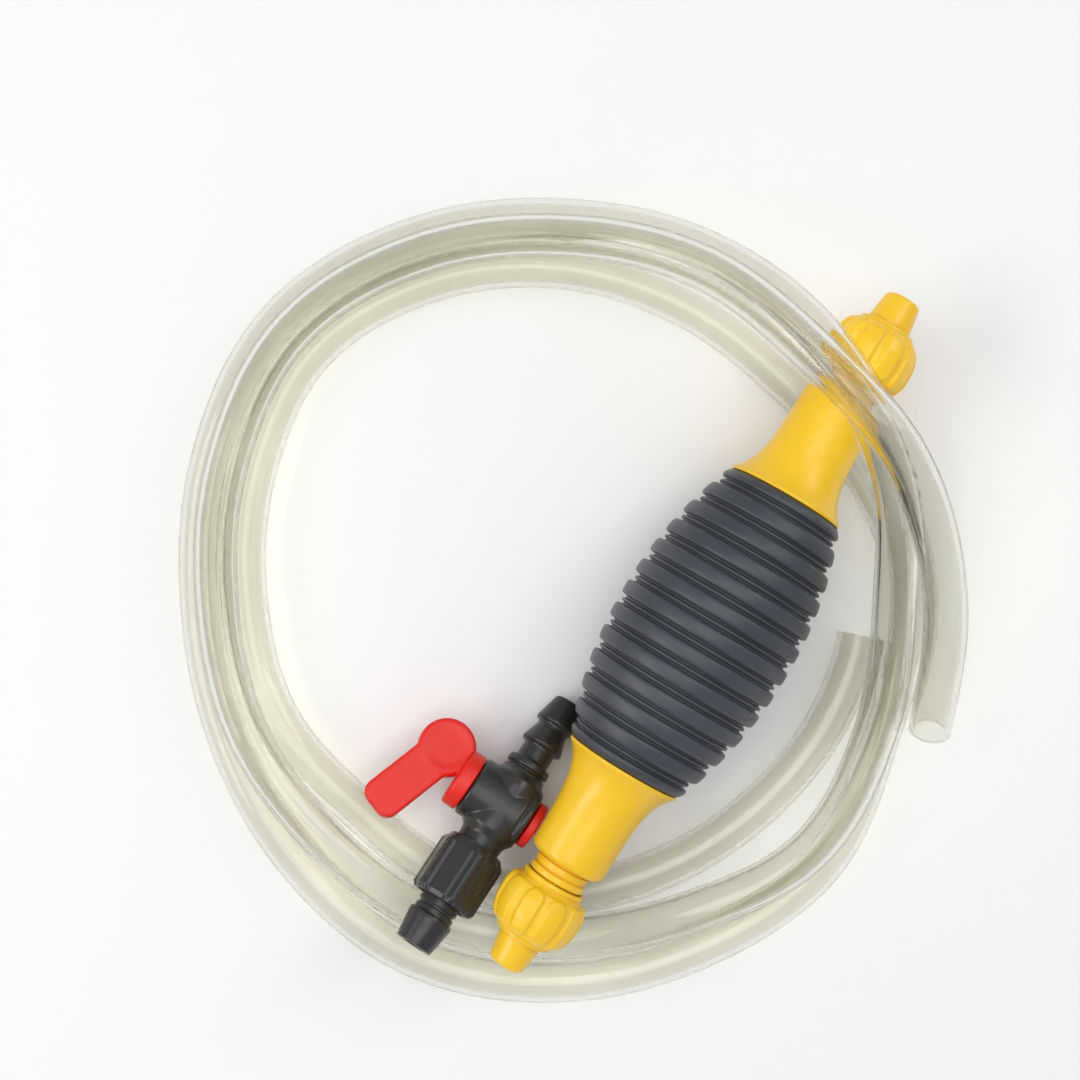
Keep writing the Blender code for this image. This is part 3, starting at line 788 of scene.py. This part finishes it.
def make_pump_nut(prefix, side):
    """Round union nut whose skin rises in tongues for the fingers."""
    outside = rounded([
        (36.6, 8.2, 0.2), (36.6, NUT_LIP_R, 0.4), (37.8, NUT_LIP_R + 0.1, 0.35),
        (38.0, NUT_LIP_R - 0.35, 0.15), (38.4, NUT_LIP_R - 0.3, 0.15), (39.6, 11.0, 1.3),
        (42.4, NUT_R, 4.0), (47.6, NUT_R, 5.0), (51.4, 10.7, 4.0), (53.2, 9.0, 1.0),
        (53.5, 8.1, 0.25), (54.4, 8.0, 0.35), (54.4, 6.5, 0.3),
    ], steps=6, closed=False)
    inside = [(44.9, 6.5), (44.9, 8.2)]
    bm = turn(spaced(outside, 0.35) + inside, NUT_SIDES)
    plain_r = NUT_LIP_R + 0.15
    for vert in bm.verts:
        radius = math.hypot(vert.co.y, vert.co.z)
        if radius > plain_r:
            rise = tongue_rise(vert.co.x, math.atan2(vert.co.z, vert.co.y)) - 0.7
            fade = min((radius - plain_r) / 0.9, 1.0)
            scale = 1.0 + rise * fade * TONGUE_RISE / radius
            vert.co.y *= scale
            vert.co.z *= scale
    nut = as_object(bm, prefix + "_union_nut")
    dress(nut, end_place(side), YELLOW, prefix + "_ring", "yellow_plastic", prefix + "_nut")


def make_pump_tail(prefix, side):
    """Plain tapered tail, with the flange that the nut holds."""
    corners = [
        (42.6, TAIL_BORE_R, 0.0), (42.6, 7.8, 0.2), (44.6, 7.8, 0.2), (44.6, 6.15, 0.2),
        (55.6, 6.15, 1.0), (63.3, 5.0, 1.5), (63.3, TAIL_BORE_R, 0.35),
    ]
    turned_piece(prefix + "_tail", rounded(corners), end_place(side), YELLOW,
                 prefix + "_tail", "yellow_plastic", prefix + "_hose_tail")


# ---------------------------------------------------------------- tap
TAP_PLACE = tap_place()
TAP_BORE_R = 3.0
TAP_SKIN = 0.28                # grain of the fused skins
TAP_THREAD_AT = 16.2
BARREL_R = 8.75
BARREL_OUT = 10.6
BARREL_IN = 7.8
SPINDLE_R = 6.1
SEAL_AT = (-6.4, 6.0)
BLADE_THICK = 6.0
LOBE_AT = Vector((-4.6, -22.0, 0.0))
LOBE_R = 8.1
ARM_LENGTH = 26.0
ARM_WIDTH = 11.7
ARM_LEAN = 18.0
ARM_CORNER_R = 3.6
ARM_EDGE_R = 0.9
NUT_CORNER_AT = math.radians(20.0)
NUT_FLAT = 0.925               # shares of the round blank's radius
NUT_RIB = 1.035
RIB_GROOVE = 0.035
RIB_GROOVE_AT = 0.33           # radians from the middle of a flat
RIB_GROOVE_WIDTH = 0.055


def make_tap_body():
    """Barrel across the flow, with a barbed end on one side and a threaded neck on the other."""
    barrel = [
        (-BARREL_OUT, 0.0, 0.0), (-BARREL_OUT, BARREL_R, 0.7), (5.1, BARREL_R, 0.15),
        (5.3, BARREL_R - 0.5, 0.15), (5.9, BARREL_R - 0.5, 0.15), (6.1, BARREL_R, 0.15),
        (BARREL_IN, BARREL_R, 0.7), (BARREL_IN, 0.0, 0.0),
    ]
    stem = [
        (-34.6, 0.0, 0.0), (-34.6, 4.2, 0.6), (-27.2, 5.9, 0.2), (-26.5, 5.8, 0.2),
        (-26.2, 4.6, 0.3), (-24.8, 4.7, 0.3), (-20.2, 6.2, 0.2), (-19.4, 6.1, 0.2),
        (-19.1, 4.7, 0.3), (-14.2, 4.8, 0.2), (-14.1, 6.3, 0.5), (-11.9, 6.4, 0.3),
        (-11.8, 5.5, 0.1), (-11.0, 5.5, 0.1), (-10.9, 6.4, 0.2), (-9.8, 6.5, 0.8),
        (-8.0, 8.2, 0.8), (-6.0, 8.4, 0.0), (6.0, 8.4, 0.0), (8.2, 8.2, 1.0),
        (10.4, 6.5, 1.5), (13.0, 6.35, 0.0),
        (22.0, 6.35, 0.5), (22.0, 0.0, 0.0),
    ]
    body = as_object(turn(rounded(barrel), closed=False, along_y=True), "tap_casing")
    flow = as_object(turn(rounded(stem), closed=False), "tap_stem")
    spindle_hole = as_object(turn([(-20, 0), (-20, 6.5), (20, 6.5), (20, 0)], closed=False,
                                  along_y=True), "spindle_hole")
    flow_hole = as_object(turn([(-40, 0), (-40, TAP_BORE_R), (40, TAP_BORE_R), (40, 0)],
                               closed=False), "flow_hole")
    combine(body, (flow, "UNION"), (spindle_hole, "DIFFERENCE"), (flow_hole, "DIFFERENCE"))
    melt(body, TAP_SKIN, 4)
    combine(body, (thread_ridge("tap_thread", TAP_THREAD_AT, 5.9, 7.1), "UNION"))
    dress(body, TAP_PLACE, BLACK, "tap", "black_plastic", "tap_body")


def make_blade():
    """The flat arm of the lever: a box with rounded corners, leaning outwards."""
    bm = bmesh.new()
    bmesh.ops.create_cube(bm, size=1.0)
    bmesh.ops.scale(bm, vec=(ARM_LENGTH, ARM_WIDTH, BLADE_THICK), verts=bm.verts)
    bmesh.ops.translate(bm, vec=(ARM_LENGTH / 2, 0, 0), verts=bm.verts)
    posts = [edge for edge in bm.edges
             if abs(edge.verts[0].co.z - edge.verts[1].co.z) > 1.0
             and edge.verts[0].co.x > ARM_LENGTH / 2]
    bmesh.ops.bevel(bm, geom=posts, offset=ARM_CORNER_R, affect="EDGES", segments=8,
                    profile=0.5, material=-1)
    rims = [edge for edge in bm.edges
            if abs(edge.verts[0].co.z) > BLADE_THICK * 0.49
            and abs(edge.verts[0].co.z - edge.verts[1].co.z) < 0.01
            and max(vert.co.x for vert in edge.verts) > 0.5]
    rims = [edge for edge in rims if edge.calc_face_angle(0.0) > 1.0]
    bmesh.ops.bevel(bm, geom=rims, offset=ARM_EDGE_R, affect="EDGES", segments=4,
                    profile=0.5, material=-1)
    bmesh.ops.rotate(bm, matrix=Matrix.Rotation(math.radians(-ARM_LEAN), 3, "Z"),
                     verts=bm.verts)
    bmesh.ops.translate(bm, vec=LOBE_AT, verts=bm.verts)
    bmesh.ops.recalc_face_normals(bm, faces=bm.faces)
    return bm


def make_lobe():
    """Round thumb lobe, a little prouder than the arm, with a shallow dish on each face."""
    half = BLADE_THICK / 2 + 0.35
    face = [(half - 0.4, 0.0), (half - 0.38, 4.6), (half - 0.12, 5.9), (half, 6.6)]
    rim = rounded([(half, 6.6, 0.0), (half, LOBE_R, 1.2), (0.0, LOBE_R, 0.0)])[1:]
    top = face + rim
    profile = top + [(-x, r) for x, r in reversed(top[:-1])]
    bm = turn(profile, closed=False)
    bmesh.ops.rotate(bm, matrix=Matrix.Rotation(math.radians(-90.0), 3, "Y"), verts=bm.verts)
    bmesh.ops.translate(bm, vec=LOBE_AT, verts=bm.verts)
    return bm


def make_tap_handle():
    """Hub, drilled spindle with its two ring grooves, arm and lobe, fused in one moulding."""
    groove = 0.8
    spindle = [(-15.4, 0.0, 0.0), (-15.4, 8.4, 1.0), (-BARREL_OUT - 0.3, 8.4, 0.4),
               (-BARREL_OUT - 0.3, SPINDLE_R, 0.0)]
    for middle in SEAL_AT:
        spindle += [(middle - groove, SPINDLE_R, 0.0), (middle - groove, 4.9, 0.0),
                    (middle + groove, 4.9, 0.0), (middle + groove, SPINDLE_R, 0.0)]
    end = BARREL_IN + 0.3
    spindle += [(end, SPINDLE_R, 0.3), (end, 2.3, 0.0), (end - 4.6, 2.3, 0.0),
                (end - 4.6, 0.0, 0.0)]
    handle = as_object(turn(rounded(spindle), closed=False, along_y=True), "tap_lever")
    blade = as_object(make_blade(), "lever_arm")
    lobe = as_object(make_lobe(), "lever_lobe")
    port = as_object(turn([(-9, 0), (-9, TAP_BORE_R), (9, TAP_BORE_R), (9, 0)],
                          closed=False), "spindle_port")
    combine(handle, (blade, "UNION"), (lobe, "UNION"), (port, "DIFFERENCE"))
    melt(handle, TAP_SKIN, 3)
    dress(handle, TAP_PLACE, RED, "tap_lever", "red_plastic", "tap_handle")


def make_spindle_cap():
    """Disc with a shallow dish, on a short pin in the spindle's end."""
    face = BARREL_IN + 0.6
    corners = [
        (face - 4.0, 0.0, 0.0), (face - 4.0, 2.0, 0.3), (face, 2.0, 0.0), (face, 6.75, 0.2),
        (face + 2.6, 6.75, 0.8), (face + 2.6, 4.6, 0.2), (face + 2.2, 4.2, 0.2),
        (face + 2.2, 0.0, 0.0),
    ]
    turned_piece("spindle_end_cap", rounded(corners), TAP_PLACE, RED, "tap_lever",
                 "red_plastic", "tap_spindle_cap", closed=False, along_y=True)


def hexagon(angle):
    """Six flats with raised corner ribs, as a share of the round blank's radius."""
    flat = math.pi / 3
    away = abs((angle - NUT_CORNER_AT) % flat - flat / 2)
    groove = RIB_GROOVE * math.exp(-((away - RIB_GROOVE_AT) / RIB_GROOVE_WIDTH) ** 2)
    return min(NUT_RIB, NUT_FLAT / math.cos(away)) - groove


def make_tap_nut():
    """Six-sided union nut with a raised rib along each corner."""
    outline = [
        (13.4, 7.7, 0.1), (13.4, 7.9, 0.15), (15.9, 9.5, 0.9), (29.9, 9.5, 0.25),
        (31.2, 8.75, 0.3), (31.2, 7.4, 0.3), (29.9, 7.0, 0.2),
        (29.9, 6.05, 0.2), (25.7, 6.05, 0.0), (25.7, 7.7, 0.0),
    ]
    bm = turn(spaced(rounded(outline), 0.8), NUT_SIDES)
    for vert in bm.verts:
        radius = math.hypot(vert.co.y, vert.co.z)
        share = min(max((radius - 7.75) / 1.2, 0.0), 1.0)
        scale = 1.0 + (hexagon(math.atan2(vert.co.z, vert.co.y)) - 1.0) * share
        vert.co.y *= scale
        vert.co.z *= scale
    nut = as_object(bm, "tap_union_nut")
    keep_faces_flat(nut)
    dress(nut, TAP_PLACE, BLACK, "tap_ring", "black_plastic", "tap_nut")


def make_tap_tail():
    """Conical tail with two collars, held by its flange under the nut."""
    corners = [
        (23.6, TAP_BORE_R, 0.0), (23.6, 7.3, 0.2), (25.4, 7.3, 0.2), (25.4, 5.75, 0.2),
        (33.0, 5.75, 0.15), (33.2, 5.2, 0.1), (33.9, 5.2, 0.1), (34.1, 5.75, 0.15),
        (35.7, 5.75, 0.3), (36.0, 6.4, 0.3), (36.9, 6.5, 0.3), (44.8, 5.3, 0.35),
        (44.8, TAP_BORE_R + 0.4, 0.2), (43.8, TAP_BORE_R, 0.0),
    ]
    turned_piece("tap_cone_tail", rounded(corners), TAP_PLACE, BLACK, "tap_tail",
                 "black_plastic", "tap_hose_tail")


# ---------------------------------------------------------------- pieces kept from the frame
KEPT = {
    "valve_seat": NATURAL, "valve_guard": NATURAL, "valve_disc": SEAL, "washer": SEAL,
    "outer_seal": SEAL, "inner_seal": SEAL,
}


def finish_kept_nodes():
    """Valve parts and seals keep their shapes and get their finishes."""
    for name, node in frame["nodes"].items():
        for ending, material in KEPT.items():
            if name.endswith(ending):
                node.data.materials.clear()
                node.data.materials.append(material)


make_camera()
make_hose()
make_studio()
make_floor()
make_bulb()
for prefix, side in (("inlet", 1), ("outlet", -1)):
    make_housing(prefix, side)
    make_pump_nut(prefix, side)
    make_pump_tail(prefix, side)
make_tap_body()
make_tap_handle()
make_spindle_cap()
make_tap_nut()
make_tap_tail()
finish_kept_nodes()
